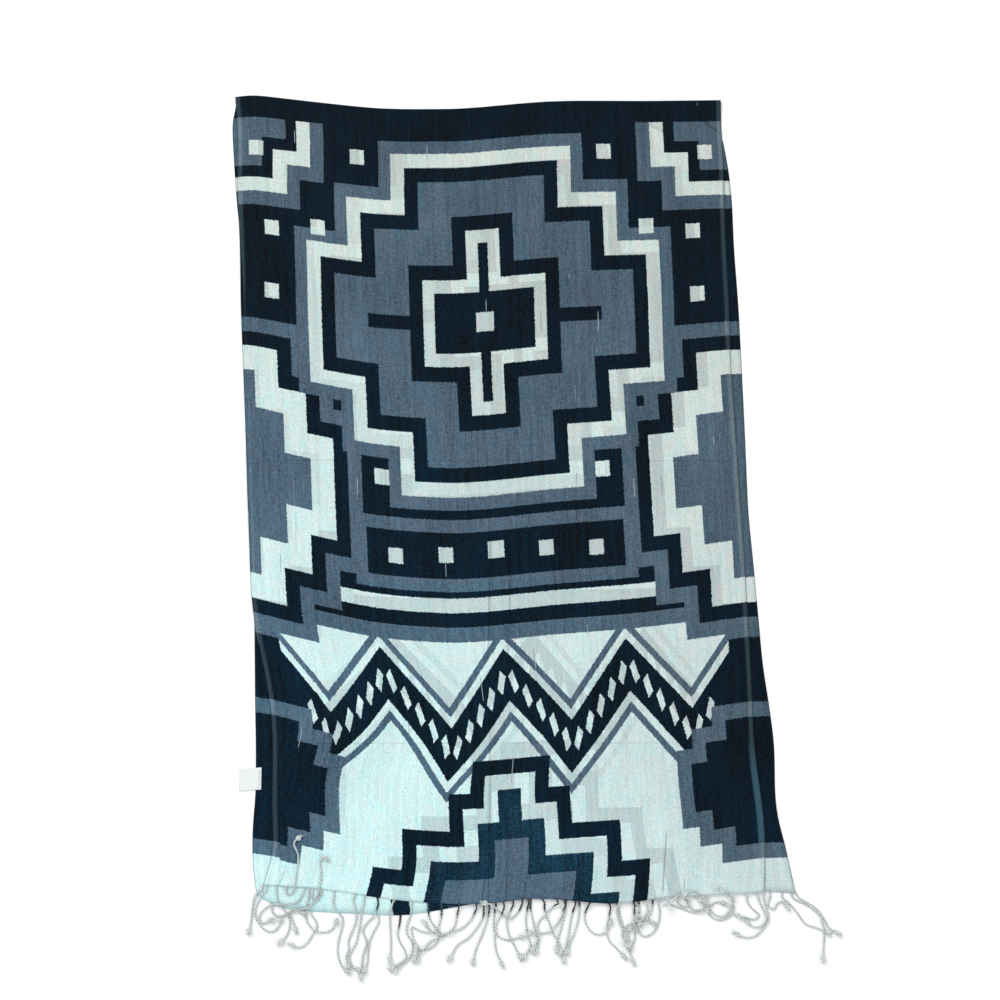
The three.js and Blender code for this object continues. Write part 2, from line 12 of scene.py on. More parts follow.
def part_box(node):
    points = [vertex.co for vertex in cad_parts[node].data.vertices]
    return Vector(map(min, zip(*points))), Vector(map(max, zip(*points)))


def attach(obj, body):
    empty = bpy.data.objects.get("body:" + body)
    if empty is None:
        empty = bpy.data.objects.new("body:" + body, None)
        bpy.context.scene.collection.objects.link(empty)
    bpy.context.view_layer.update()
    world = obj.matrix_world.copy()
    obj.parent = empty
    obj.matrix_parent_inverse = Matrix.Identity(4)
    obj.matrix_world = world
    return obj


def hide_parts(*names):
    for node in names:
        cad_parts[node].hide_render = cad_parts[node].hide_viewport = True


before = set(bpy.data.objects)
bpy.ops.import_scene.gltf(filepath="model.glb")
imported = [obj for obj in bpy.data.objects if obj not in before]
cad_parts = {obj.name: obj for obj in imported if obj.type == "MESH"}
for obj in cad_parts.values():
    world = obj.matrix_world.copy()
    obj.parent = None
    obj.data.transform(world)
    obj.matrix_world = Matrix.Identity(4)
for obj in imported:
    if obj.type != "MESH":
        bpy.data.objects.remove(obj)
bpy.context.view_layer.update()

# ---- Driving sizes, in millimetres ----

MM = 0.001
CLOTH_WIDE = 610.0  # selvedge to selvedge
CLOTH_LONG = 1880.0  # hem to hem
CLOTH_THICK = 0.45
UNDER_REST = 0.5  # height of the middle of each leaf where it lies flat
UPPER_REST = 1.6
TURN_RADIUS = 1.5
TURN_FADE = 26.0  # how far down the upper leaf the swell of the turn dies out
TURN_DRAW = 30.0  # how far down both leaves the cloth is drawn back to make room for the turn

LABEL_LEFT = -298.0
LABEL_RIGHT = -273.0
LABEL_FOOT = -334.0
LABEL_HEAD = -309.0

label_corner = np.array(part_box("care_label")[0]) / MM
SHIFT = label_corner - np.array([LABEL_LEFT, LABEL_FOOT, label_corner[2]])


def to_frame(points):
    """Points of the view's frame, in millimetres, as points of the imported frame, in metres."""
    return (np.asarray(points, float) + SHIFT) * MM


# ---- Small helpers ----


def smoothstep(low, high, value):
    share = np.clip((value - low) / (high - low), 0, 1)
    return share * share * (3 - 2 * share)


def evened(values, rounds):
    """Values, or rows of them, each evened out with its neighbours; the two at the ends stay."""
    values = np.array(values, float)
    for _ in range(rounds):
        values[1:-1] = (values[:-2] + 2 * values[1:-1] + values[2:]) / 4
    return values


def shares(*stretches):
    """Shares from 0 to 1 in stretches of (upper end, steps), closer together where the shape is finer."""
    row = [0.0]
    for end, steps in stretches:
        row.extend(np.linspace(row[-1], end, steps + 1)[1:])
    return np.array(row)


def placed(name, data):
    """An object of the scene that shows a mesh, shines as a light or sees as a camera."""
    made = bpy.data.objects.new(name, data)
    bpy.context.scene.collection.objects.link(made)
    return made


def direction(start, end):
    """The length of a line on the floor, and its way in x and y."""
    x, y = end[0] - start[0], end[1] - start[1]
    length = math.hypot(x, y)
    return length, x / length, y / length


def mesh_piece(name, points, faces, material):
    """A piece made of points in millimetres, which rides on the body."""
    mesh = bpy.data.meshes.new(name)
    mesh.from_pydata(to_frame(points).tolist(), [], [list(map(int, face)) for face in faces])
    mesh.materials.append(material)
    mesh.shade_smooth()
    piece = placed(name, mesh)
    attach(piece, "root")
    return piece


def write_uv(piece, name, per_point):
    """Keeps a pair of numbers for each point of a piece as a UV map."""
    mesh = piece.data
    corner = np.zeros(len(mesh.loops), np.int32)
    mesh.loops.foreach_get("vertex_index", corner)
    layer = mesh.uv_layers.new(name=name)
    layer.data.foreach_set("uv", np.asarray(per_point, np.float32)[corner].ravel())


def closed_sheet(grid, thick):
    """The points and faces of a thin closed sheet round a grid of middle points."""
    rows, columns = grid.shape[:2]
    across = np.gradient(grid, axis=1)
    down = np.gradient(grid, axis=0)
    out = np.cross(across, down)
    out /= np.linalg.norm(out, axis=2, keepdims=True)
    points = np.concatenate([(grid + side * thick / 2 * out).reshape(-1, 3) for side in (1, -1)])
    index = np.arange(rows * columns).reshape(rows, columns)
    quads = np.stack([index[:-1, :-1], index[:-1, 1:], index[1:, 1:], index[1:, :-1]], -1).reshape(-1, 4)
    rim = np.concatenate([index[0, :-1], index[:-1, -1], index[-1, :0:-1], index[:0:-1, 0]])
    after = np.roll(rim, -1)
    size = rows * columns
    walls = np.stack([rim, rim + size, after + size, after], -1)
    return points, np.concatenate([quads, quads[:, ::-1] + size, walls])


# ---- The leaves' outlines, read off the solids ----


def solid(name):
    """The mesh of a solid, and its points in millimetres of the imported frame."""
    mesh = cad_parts[name].data
    return mesh, np.array([vertex.co for vertex in mesh.vertices]) / MM


class Outline:
    """A CAD leaf seen from above."""

    def __init__(self, node):
        mesh, points = solid(node)
        points -= SHIFT
        ends = np.array([edge.vertices for edge in mesh.edges])
        self.start, self.end = points[ends[:, 0]], points[ends[:, 1]]
        x, y = points[:, 0], points[:, 1]
        self.hem_left = points[np.argmin(x + y)]
        self.hem_right = points[np.argmax(x - y)]
        self.fold_left = points[np.argmax(y - x)]
        self.fold_right = points[np.argmax(x + y)]

    def span(self, axis, at):
        """The least and greatest of the other coordinate, where the leaf crosses a line x or y = at."""
        before = self.start[:, axis] - at
        after = self.end[:, axis] - at
        crosses = before * after < 0
        share = before[crosses] / (before[crosses] - after[crosses])
        other = 1 - axis
        found = self.start[crosses, other] * (1 - share) + self.end[crosses, other] * share
        return found.min(), found.max()

    def side_at(self, which, y):
        """x of the left (0) or right (1) side at a height y, or at the nearest height the leaf reaches."""
        lowest, highest = self.start[:, 1].min(), self.start[:, 1].max()
        return self.span(1, np.clip(y, lowest + INSET, highest - INSET))[which]


SIDE_SAMPLES = 120
HEM_SAMPLES = 120
INSET = 0.6  # keeps the samples off the very corners of a leaf


class Leaf:
    """A leaf's middle surface from above: shares across from the left selvedge, and down from the fold."""

    def __init__(self, outline, fold):
        self.fold_x = np.linspace(fold.fold_left[0] + INSET, fold.fold_right[0] - INSET, HEM_SAMPLES)
        self.fold_y = evened([fold.span(0, x)[1] for x in self.fold_x], 2)
        self.hem_x = np.linspace(outline.hem_left[0] + INSET, outline.hem_right[0] - INSET, HEM_SAMPLES)
        self.hem_y = evened([outline.span(0, x)[0] for x in self.hem_x], 2)
        self.left = self.side(outline, 0, self.fold_y[0], self.hem_y[0])
        self.right = self.side(outline, 1, self.fold_y[-1], self.hem_y[-1])

    def side(self, outline, which, top, foot):
        heights = np.linspace(top - 2 * INSET - TURN_RADIUS, foot + INSET, SIDE_SAMPLES)
        row = evened([outline.side_at(which, y) for y in heights], 4)
        ends = (self.fold_x[0], self.hem_x[0]) if which == 0 else (self.fold_x[-1], self.hem_x[-1])
        row[0], row[-1] = ends
        return evened(row, 2)

    def sides(self, down):
        """x of the left and of the right side, at shares down."""
        along = np.linspace(0, 1, SIDE_SAMPLES)
        return (np.interp(down, along, edge) for edge in (self.left, self.right))

    def at(self, across, down):
        """x and y at shares across and down: the four edges, each blended into the next."""
        along_top = np.linspace(0, 1, HEM_SAMPLES)
        fold_y, hem_y = self.fold_y, self.hem_y
        left_y, right_y = (fold_y[k] + down * (hem_y[k] - fold_y[k]) for k in (0, -1))
        left_x, right_x = self.sides(down)
        # how far the curved fold and hem lie off straight lines between their ends
        top_bend, foot_bend = (
            np.interp(across, along_top, row) - row[0] - across * (row[-1] - row[0])
            for row in (fold_y, hem_y)
        )
        x = left_x + across * (right_x - left_x)
        y = left_y + across * (right_y - left_y) + (1 - down) * top_bend + down * foot_bend
        return x, y


upper_outline = Outline("leaf_upper")
upper = Leaf(upper_outline, upper_outline)
under = Leaf(Outline("leaf_under"), upper_outline)

# ---- Creases ----

# Soft ridges of the upper leaf, from one point to another: wide is the half-width at which a ridge has
# fallen to a third of its height, and fade the length over which it dies out at its ends.
UPPER_CREASES = (
    # from, to, wide, high, fade
    ((-27, 110), (-16, -455), 2.6, 0.9, 40),
    ((4, 40), (7, -455), 2.8, 0.6, 40),
    ((20, 10), (22, -455), 2.4, 0.5, 40),
    ((-18, 420), (-24, 130), 3.0, 0.35, 60),
    ((-236, 200), (-226, -170), 2.6, 0.5, 50),
    ((-292, 47), (-185, 44), 2.6, 0.6, 30),
    ((-180, 40), (180, 36), 3.0, 0.28, 60),
    ((190, 42), (284, 48), 2.8, 0.4, 30),
    ((-245, -284), (0, -284), 2.6, 0.5, 40),
    ((30, -282), (286, -276), 2.8, 0.3, 40),
    ((-190, 462), (10, 460), 14, 1.5, 30),
    ((168, 452), (240, 414), 5, 1.1, 22),
    ((176, 430), (214, 404), 4, 0.7, 18),
    ((-300, 440), (-262, 396), 5, 0.8, 24),
    ((245, 330), (262, -90), 7, 0.9, 60),
    ((228, -60), (252, -300), 4, 0.6, 40),
    ((262, -296), (270, -360), 3, 0.9, 14),
    ((201, -372), (193, -455), 2.6, 1.3, 18),
    ((-28, -420), (-24, -460), 2.6, 1.2, 10),
    ((-8, -410), (-2, -460), 2.4, 1.0, 12),
    ((12, -426), (16, -460), 2.4, 0.9, 10),
    ((-160, -380), (-150, -452), 4, 0.6, 20),
    ((92, -400), (104, -458), 4, 0.7, 18),
    ((-45, -462), (306, -453), 15, 3.2, 30),
)
UNDER_CREASES = (
    ((303, -262), (306, -318), 3.5, 0.7, 10),
    ((296, -150), (300, -230), 4, 0.5, 20),
    ((322, -390), (332, -446), 4, 0.7, 12),
    ((-272, -400), (-268, -446), 4, 0.6, 12),
)

# Long slack waves of cloth that lies by its own weight: wavelengths across and down, height and phase.
SLACK_WAVES = (
    (163, 940, 0.20, 0.4),
    (91, 610, 0.13, 2.1),
    (57, -430, 0.09, 4.0),
    (240, -330, 0.16, 1.2),
    (-130, 255, 0.10, 5.1),
    (37, 700, 0.05, 0.9),
)

# The tuck along the left selvedge: the leaf is folded over itself from here down to the hem.
TUCK_TOP = (-254.0, -262.0)
TUCK_FOOT = (-250.0, -445.0)
TUCK_LEAD = 10.0  # how far above its top the tuck sets in
TUCK_FADE = 70.0  # how far below its top it has its full overlap
TUCK_OVERLAP = 8.0
TUCK_LAYER = 0.75  # rise from one layer of the tuck to the next
TUCK_EASE = 30.0  # how far to the right the tuck's two layers take to come down


def crease_height(creases, x, y):
    height = np.zeros_like(x)
    for (x0, y0), end, wide, high, fade in creases:
        length, ux, uy = direction((x0, y0), end)
        run = (x - x0) * ux + (y - y0) * uy
        beyond = np.maximum(np.maximum(-run, run - length), 0)
        away = (x - x0) * uy - (y - y0) * ux
        height += high * np.exp(-((away / wide) ** 2) - (beyond / fade) ** 2)
    return height


def slack_height(x, y):
    height = np.zeros_like(x)
    for across, down, high, phase in SLACK_WAVES:
        height += high * np.sin(2 * math.pi * (x / across + y / down) + phase)
    return height


# ---- The cloth: one sheet from the under leaf's hem round the turn to the upper leaf's hem ----

COLUMNS = shares((0.1, 38), (0.4, 36), (0.56, 34), (0.82, 28), (0.88, 9), (1, 15))
UPPER_ROWS = shares((0.035, 9), (0.6, 76), (0.93, 50), (1, 20))
UNDER_ROWS = shares((0.04, 4), (0.6, 34), (1, 40))
TURN_STEPS = 10

PRINT_SAG = {"upper": 24.0, "under": 6.0}  # how far the print's middle has slid towards the hem
SAG_REACH = 520.0  # how far down from the fold the print has slid by all of it
UNDER_SLACK = 0.05  # how far the under leaf's print lies off to the right in its middle


def print_place(leaf, across, fold_y, y):
    """Where a point lies on the flat cloth: from the left selvedge, and from the fold."""
    down = fold_y - y
    if leaf == "under":
        across = across - UNDER_SLACK * np.sin(math.pi * np.clip(across, 0, 1)) ** 2
    sag = PRINT_SAG[leaf] * np.sin(math.pi * np.clip(across, 0, 1)) * smoothstep(0, SAG_REACH, down)
    return across * CLOTH_WIDE, down - sag


def tucked(across, down):
    """Where the folded-over rows of the upper leaf lie: shares across, and how high the tuck lifts them."""
    x_left, y = upper.at(np.zeros_like(across), down)
    x_right, _ = upper.at(np.ones_like(across), down)
    wide = x_right - x_left
    tuck = np.interp(y, (TUCK_FOOT[1], TUCK_TOP[1]), (TUCK_FOOT[0], TUCK_TOP[0]))
    overlap = TUCK_OVERLAP * smoothstep(TUCK_TOP[1] + TUCK_LEAD, TUCK_TOP[1] - TUCK_FADE, y)
    laid = across * (wide + 2 * overlap)
    turn = tuck + overlap - x_left
    share = np.where(laid < turn, laid, np.where(laid < turn + overlap, 2 * turn - laid, laid - 2 * overlap))
    fullness = overlap / TUCK_OVERLAP
    on_top = 2 * (1 - smoothstep(overlap, overlap + TUCK_EASE, share - (turn - overlap)))
    rise = np.where(laid < turn - 1, 0, np.where(laid < turn + overlap / 2, 1, on_top)) * fullness
    share, rise = (evened(values.T, 2).T for values in (share, rise))
    return share / wide, rise * TUCK_LAYER


def laid_grid(x, y, z, from_fold):
    """The points of a leaf, drawn back near the fold to make room for the turn."""
    return np.stack([x, y - TURN_RADIUS * (1 - smoothstep(0, TURN_DRAW, from_fold)), z], -1)


def upper_rows():
    across, down = np.meshgrid(COLUMNS, UPPER_ROWS)
    share, rise = tucked(across, down)
    x, y = upper.at(share, down)
    fold_y = np.interp(x, upper.fold_x, upper.fold_y)
    from_fold = fold_y - y
    swell = 1 - smoothstep(0, TURN_FADE, from_fold)
    lying = UPPER_REST + rise + crease_height(UPPER_CREASES, x, y) + slack_height(x, y)
    turn_top = UNDER_REST + 2 * TURN_RADIUS
    z = lying * (1 - swell) + turn_top * swell
    place = np.stack(print_place("upper", across, fold_y, y), -1)
    below = np.stack(print_place("under", under_share(x, y), fold_y, y), -1)
    return laid_grid(x, y, z, from_fold), place, below


def under_share(x, y):
    """The share across the under leaf of the place below a point of the upper one."""
    down = (under.fold_y.mean() - y) / (under.fold_y.mean() - under.hem_y.mean())
    left, right = under.sides(down)
    return (x - left) / (right - left)


def under_rows():
    across, down = np.meshgrid(COLUMNS, UNDER_ROWS)
    x, y = under.at(across, down)
    fold_y = np.interp(x, under.fold_x, under.fold_y)
    z = UNDER_REST + crease_height(UNDER_CREASES, x, y)
    place = np.stack(print_place("under", across, fold_y, y), -1)
    return laid_grid(x, y, z, fold_y - y), place


def turn_rows():
    """The half circle from the under leaf up to the upper one, at the fold."""
    rows = []
    for step in range(1, TURN_STEPS):
        angle = math.pi * (step / TURN_STEPS - 0.5)
        x, y = upper.at(COLUMNS, np.zeros_like(COLUMNS))
        y = y - TURN_RADIUS + TURN_RADIUS * math.cos(angle)
        z = np.full_like(x, UNDER_REST + TURN_RADIUS * (1 + math.sin(angle)))
        rows.append(np.stack([x, y, z], -1))
    return np.array(rows)


NOTHING_BELOW = -1.0  # stands in the map "below" wherever no cloth lies under a point


def make_cloth(material):
    lower, lower_place = under_rows()
    turn = turn_rows()
    top, top_place, top_below = upper_rows()
    turn_across = np.broadcast_to(COLUMNS * CLOTH_WIDE, turn.shape[:2])
    turn_place = np.stack([turn_across, np.zeros_like(turn_across)], -1)
    grid = np.concatenate([lower[::-1], turn, top])
    place = np.concatenate([lower_place[::-1], turn_place, top_place])
    nothing = np.full((len(lower) + len(turn), len(COLUMNS), 2), NOTHING_BELOW)
    below = np.concatenate([nothing, top_below])
    points, faces = closed_sheet(grid, CLOTH_THICK)
    piece = mesh_piece("cloth", points, faces, material)
    write_uv(piece, "print", np.tile(place.reshape(-1, 2), (2, 1)) * MM)
    write_uv(piece, "below", np.tile(below.reshape(-1, 2), (2, 1)) * MM)
    write_uv(piece, "lying", points[:, :2] * MM)
    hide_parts("leaf_upper", "leaf_under")
    ground = BVHTree.FromPolygons(points.tolist(), faces.tolist())
    hems = {"fringe_upper": (grid[-1], place[-1]), "fringe_under": (grid[0], place[0])}
    return piece, hems, ground


# ---- The fringe ----

CORD_RADIUS = 1.3
PLY_RADIUS = 0.7
PLY_SIDES = 6
PLY_PITCH = 7.0  # length of one full twist
CORD_STEP = 1.25
KNOT_RADIUS = 3.1
KNOT_LONG = 2.1  # half its length
KNOT_STEPS = 42
KNOT_SETTLE = 12.0  # length over which a strand rises from the floor to its knot
TUFT_THREADS = 9
TUFT_LONG = 5.6
THREAD_RADIUS = 0.26
SLUB = 0.12  # how much the thickness of a ply varies along it
PLY_START = 0.35  # how far apart the plies are at the root, as a share of their full distance
KNOT_YARN = 1.3  # how much thicker the yarn is in the knot
TUFT_SPLAY = 0.45
TUFT_CURL = 0.5
TUFT_STEPS = 5
LEAST_RINGS = 8  # a row of fewer rings isn't a strand
GATHER_THREADS = 3
GATHER_WIDE = 1.7  # spacing of the threads that gather into a strand at its root
GATHER_LONG = 4.5
GATHER_STEPS = 6
GATHER_RADIUS = 1.2 * THREAD_RADIUS
ROOT_OVERLAP = 0.8  # how far the threads reach up from the very edge of the hem
ABOVE_STRAND = 1.6  # a strand lies on what is found below this height over its middle
PLAIN_DEPTH = 0.3  # how deep in a groove a thread counts as lying that isn't a ply


def strand_lines(node):
    """The middle lines of a fringe's strands, tip first, read off the rings of its three-sided solids."""
    mesh, places = solid(node)
    points, merged = np.unique(np.round(places, 2), axis=0, return_inverse=True)
    merged = merged.reshape(-1)
    faces = [tuple(int(merged[v]) for v in polygon.vertices) for polygon in mesh.polygons]
    beside = {}
    for face in faces:
        for vertex in face:
            beside.setdefault(vertex, set()).update(face)
    lines = []
    for face in faces:
        ring = set(face)
        seen = set(ring)
        line = []
        while len(ring) == 3:
            line.append(points[list(ring)].mean(0) - SHIFT)
            ring = set().union(*(beside[vertex] for vertex in ring)) - seen
            seen |= ring
        if len(line) >= LEAST_RINGS:
            lines.append(np.array(line))
    return sorted(lines, key=lambda line: line[-1][0])


def resampled(points, step):
    """Points a step apart on a smooth curve through the given ones, and the length up to each."""
    padded = np.concatenate([[2 * points[0] - points[1]], points, [2 * points[-1] - points[-2]]])
    fine = []
    for k in range(len(points) - 1):
        a, b, c, d = padded[k : k + 4]
        t = np.linspace(0, 1, 12, endpoint=False)[:, None]
        curve = 2 * b + (c - a) * t + (2 * a - 5 * b + 4 * c - d) * t**2 + (3 * b - a - 3 * c + d) * t**3
        fine.append(curve / 2)
    fine = np.concatenate([*fine, points[-1:]])
    length = np.concatenate([[0], np.cumsum(np.linalg.norm(np.diff(fine, axis=0), axis=1))])
    count = max(int(length[-1] / step), 2)
    at = np.linspace(0, length[-1], count + 1)
    return np.stack([np.interp(at, length, fine[:, axis]) for axis in range(3)], -1), at


def frames_along(line):
    """For each point of a line: the way on, a level side direction and the direction square to both."""
    ahead = np.gradient(line, axis=0)
    ahead /= np.linalg.norm(ahead, axis=1, keepdims=True)
    side = np.stack([ahead[:, 1], -ahead[:, 0], np.zeros(len(line))], -1)
    side /= np.maximum(np.linalg.norm(side, axis=1, keepdims=True), 1e-6)
    return ahead, side, np.cross(side, ahead)


class Yarn:
    """Collects the points and faces of many thin tubes into one mesh."""

    def __init__(self):
        self.points, self.faces, self.strand, self.root = [], [], [], []
        self.count = 0

    def tube(self, line, radius, sides, from_hem, root, closed=False, out=None):
        """Adds a tube. out is the way from the strand's middle to the tube's, where it has one."""
        radius = np.broadcast_to(radius, len(line))
        ahead, side, up = frames_along(line)
        if out is not None:
            side, up = out, np.cross(out, ahead)
        angle = 2 * math.pi * np.arange(sides) / sides
        ring = side[:, None] * np.cos(angle)[None, :, None] + up[:, None] * np.sin(angle)[None, :, None]
        points = line[:, None] + ring * radius[:, None, None]
        depth = (1 - np.cos(angle)) / 2 if out is not None else np.full(sides, PLAIN_DEPTH)
        index = self.count + np.arange(len(line) * sides).reshape(len(line), sides)
        after = np.roll(index, -1, axis=0) if closed else index[1:]
        before = index if closed else index[:-1]
        quads = np.stack([before, after, np.roll(after, -1, 1), np.roll(before, -1, 1)], -1)
        self.faces.extend(quads.reshape(-1, 4).tolist())
        if not closed:
            self.faces += [index[0].tolist(), index[-1, ::-1].tolist()]
        self.points.append(points.reshape(-1, 3))
        self.strand.append(np.stack([np.repeat(from_hem, sides), np.tile(depth, len(line))], -1))
        self.root.append(np.tile(root, (len(line) * sides, 1)))
        self.count += len(line) * sides

    def piece(self, name, material):
        made = mesh_piece(name, np.concatenate(self.points), self.faces, material)
        write_uv(made, "print", np.concatenate(self.root) * MM)
        write_uv(made, "strand", np.concatenate(self.strand) * MM)
        return made


def add_cord(yarn, line, at, root, random):
    """Two plies twisted round each other."""
    _, side, up = frames_along(line)
    turn = 2 * math.pi * (at / (PLY_PITCH * random.uniform(0.85, 1.2)) + random.random())
    slub = 1 + SLUB * np.sin(at * random.uniform(0.25, 0.5) + 6 * random.random())
    offset = (CORD_RADIUS - PLY_RADIUS) * np.minimum(1, PLY_START + at / GATHER_LONG)
    for ply in (0, math.pi):
        swing = side * np.cos(turn + ply)[:, None] + up * np.sin(turn + ply)[:, None]
        yarn.tube(line + swing * offset[:, None], PLY_RADIUS * slub, PLY_SIDES, at, root, out=swing)


def laid_on(line, ground, lift):
    """A strand's middle line, raised where needed so that the strand lies on the cloth below it."""
    line = line.copy()
    for k, (x, y, z) in enumerate(line):
        found = ground.ray_cast(Vector((x, y, z + ABOVE_STRAND)), Vector((0, 0, -1)))[0]
        floor = found.z if found else 0.0
        line[k, 2] = max(z, floor + CORD_RADIUS + lift[k])
    line[:, 2] = evened(line[:, 2], 2)
    return line


def add_knot(yarn, line, at, root, random):
    """An overhand knot drawn tight near the end, and a tuft of loose threads below it."""
    ahead, side, up = (row[-1] for row in frames_along(line))
    t = np.linspace(0, 2 * math.pi, KNOT_STEPS, endpoint=False) + random.uniform(0, 6)
    wide = KNOT_RADIUS - PLY_RADIUS
    round_x = (2 + np.cos(3 * t)) / 3 * np.cos(2 * t) * wide
    round_y = (2 + np.cos(3 * t)) / 3 * np.sin(2 * t) * wide
    along = np.sin(3 * t) * KNOT_LONG
    knot = line[-1] + np.outer(round_x, side) + np.outer(round_y, up) + np.outer(along, ahead)
    yarn.tube(knot, PLY_RADIUS * KNOT_YARN, PLY_SIDES, np.full(KNOT_STEPS, at[-1]), root, closed=True)
    for _ in range(TUFT_THREADS):
        splay = random.uniform(-TUFT_SPLAY, TUFT_SPLAY, 2)
        way = ahead + splay[0] * side + 0.3 * splay[1] * up
        curl = random.uniform(-TUFT_CURL, TUFT_CURL) * side
        run = np.linspace(0, 1, TUFT_STEPS)[:, None]
        reach = TUFT_LONG * random.uniform(0.6, 1)
        thread = line[-1] + ahead * KNOT_LONG / 2 + (way * run + curl * run**2) * reach
        thread[:, 2] = np.maximum(thread[:, 2], THREAD_RADIUS)
        yarn.tube(thread, THREAD_RADIUS, 3, np.full(TUFT_STEPS, at[-1]), root)


def add_gather(yarn, line, root, hem, random):
    """The loose warp threads that gather from the hem into the strand."""
    meet = line[min(int(GATHER_LONG / CORD_STEP), len(line) - 1)]
    for k in range(GATHER_THREADS):
        aside = (k - (GATHER_THREADS - 1) / 2) * GATHER_WIDE * random.uniform(0.85, 1.1)
        x = line[0][0] + aside
        start = np.array([np.interp(x, hem[:, 0], hem[:, axis]) for axis in range(3)])
        start[0] = x
        start[1] += ROOT_OVERLAP
        run = np.linspace(0, 1, GATHER_STEPS)
        bent = start + (meet - start) * run[:, None]
        bent[:, 1] -= ROOT_OVERLAP * np.sin(math.pi * run)
        yarn.tube(bent, GATHER_RADIUS, 3, run * GATHER_LONG, root)


def make_fringe(node, hem, place, ground, material, seed):
    """The strands of one hem: place is where each point of the hem lies on the flat cloth."""
    random = np.random.default_rng(seed)
    yarn = Yarn()
    for line in strand_lines(node):
        nearest = np.argmin(np.hypot(hem[:, 0] - line[-1][0], hem[:, 1] - line[-1][1]))
        start = hem[nearest] + [0, ROOT_OVERLAP, 0]
        root = place[nearest]
        path, at = resampled(np.concatenate([[start], line[::-1]]), CORD_STEP)
        lift = (KNOT_RADIUS - CORD_RADIUS) * smoothstep(at[-1] - KNOT_SETTLE, at[-1], at)
        path = laid_on(path, ground, lift)
        add_cord(yarn, path, at, root, random)
        add_knot(yarn, path, at, root, random)
        add_gather(yarn, path, root, hem, random)
    piece = yarn.piece(node.replace("fringe", "strands"), material)
    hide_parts(node)
    return piece


# ---- Materials ----


def operator(operation, swapped=False):
    """A method of Term that works out one operation, with the term first or, if swapped, last."""
    return lambda term, *others: term.math(operation, *((*others, term) if swapped else (term, *others)))


class Term:
    """A number worked out by the nodes of a material, so that a formula is written as one."""

    def __init__(self, tree, socket):
        self.tree = tree
        self.socket = socket

    def math(self, operation, *values, clamp=False):
        inputs = dict(enumerate(values))
        made = node(self.tree, "ShaderNodeMath", inputs, operation=operation, use_clamp=clamp)
        return Term(self.tree, made.outputs[0])

    __add__ = operator("ADD")
    __sub__ = operator("SUBTRACT")
    __rsub__ = operator("SUBTRACT", swapped=True)
    __mul__ = operator("MULTIPLY")
    __truediv__ = operator("DIVIDE")
    __abs__ = operator("ABSOLUTE")
    least = operator("MINIMUM")
    most = operator("MAXIMUM")
    zigzag = operator("PINGPONG")  # up and down between 0 and the number given
    sine = operator("SINE")

    def clamped(self):
        return self.math("ADD", self, 0.0, clamp=True)

    def fused(self, factor, addend, clamp=False):
        """This number times a factor plus an addend, in one node."""
        return self.math("MULTIPLY_ADD", self, factor, addend, clamp=clamp)

    def below(self, limit, soft):
        """1 where the number is under the limit, 0 above it, with a soft edge."""
        return self.fused(-1 / soft, limit / soft + 0.5, clamp=True)

    def painted(self, mask, value):
        """This number, but value where the mask is 1."""
        made = node(self.tree, "ShaderNodeMix", {0: mask, 2: self, 3: value}, data_type="FLOAT")
        return Term(self.tree, made.outputs[0])


def srgb(red, green, blue):
    """A colour given in the usual 0 to 255 values, as the linear one that nodes take."""

    def linear(value):
        value /= 255
        return value / 12.92 if value <= 0.04045 else ((value + 0.055) / 1.055) ** 2.4

    return (linear(red), linear(green), linear(blue), 1.0)


def node(tree, kind, inputs=None, **settings):
    made = tree.nodes.new(kind)
    for name, value in settings.items():
        setattr(made, name, value)
    feed(tree, made, inputs or {})
    return made


def feed(tree, made, inputs):
    """Links Terms or sockets to inputs of a node, or sets the inputs' own values."""
    for slot, value in inputs.items():
        value = getattr(value, "socket", value)
        if isinstance(value, bpy.types.NodeSocket):
            tree.links.new(value, made.inputs[slot])
        else:
            made.inputs[slot].default_value = value


def split(tree, vector):
    parts = node(tree, "ShaderNodeSeparateXYZ", {0: vector})
    return Term(tree, parts.outputs[0]), Term(tree, parts.outputs[1])


def joined(tree, x, y):
    return node(tree, "ShaderNodeCombineXYZ", {0: x, 1: y}).outputs[0]


def noise(tree, x, y, scale_x, scale_y, detail=2.0):
    """Noise from -1 to 1 whose grains are about scale_x by scale_y millimetres large."""
    inputs = {"Vector": joined(tree, x / (scale_x * MM), y / (scale_y * MM)), "Scale": 1.0, "Detail": detail}
    made = node(tree, "ShaderNodeTexNoise", inputs, noise_dimensions="2D")
    return (Term(tree, made.outputs["Fac"]) - 0.5) * 2.0


def solid_noise(tree, scale, detail=2.0):
    """Noise from 0 to 1 through the body of a piece, with about so many grains in a metre."""
    place = node(tree, "ShaderNodeTexCoord").outputs["Object"]
    made = node(tree, "ShaderNodeTexNoise", {"Vector": place, "Scale": scale, "Detail": detail})
    return Term(tree, made.outputs["Fac"])


def mixed(tree, share, first, second, blend="MIX"):
    inputs = {0: share, 6: first, 7: second}
    return node(tree, "ShaderNodeMix", inputs, data_type="RGBA", blend_type=blend).outputs[2]


